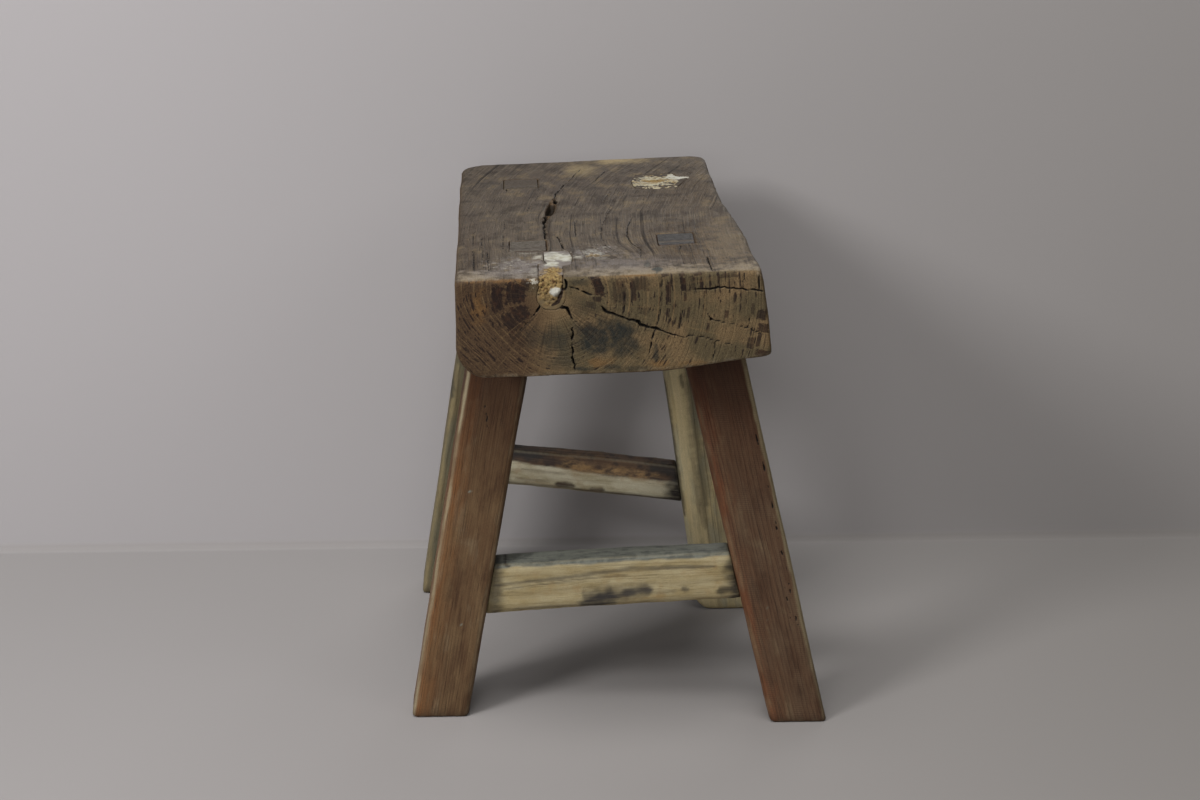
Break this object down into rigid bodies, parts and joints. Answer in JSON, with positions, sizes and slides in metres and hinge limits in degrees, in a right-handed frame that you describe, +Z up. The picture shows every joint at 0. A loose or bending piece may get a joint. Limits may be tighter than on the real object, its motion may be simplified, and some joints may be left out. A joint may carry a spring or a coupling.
{
  "type": "milking stool",
  "caption": "Small rustic wooden stool: thick slab seat on four splayed legs with wedged through tenons and two end stretchers.",
  "frame": {"origin": "on the floor, under the middle of the stool's bounding box", "axes": "+Z up, Y along the slab from its front end grain (-Y) to its rear, X across the slab"},
  "size_m": [0.2634, 0.2996, 0.3074],
  "materials": {
    "slab_wood": "weathered grey-brown elm, open grain, matt",
    "front_leg_wood": "worn red-brown elm, matt",
    "rear_leg_wood": "pale greenish grey elm, matt",
    "stretcher_wood": "hewn pale yellow wood with dark stains, matt",
    "wedge_wood": "grey end grain, matt",
    "filler": "cream and ochre wood filler, crumbly, matt"
  },
  "bodies": {
    "root": {"seat_slab": "slab_wood", "front_left_leg": "front_leg_wood", "front_right_leg": "front_leg_wood", "rear_left_leg": "rear_leg_wood", "rear_right_leg": "rear_leg_wood", "front_stretcher": "stretcher_wood", "rear_stretcher": "stretcher_wood", "front_left_wedge": "wedge_wood", "front_right_wedge": "wedge_wood", "rear_left_wedge": "wedge_wood", "rear_right_wedge": "wedge_wood", "front_edge_filler": "filler", "top_patch_filler": "filler", "rear_tenon_filler": "filler"}
  },
  "joints": []
}
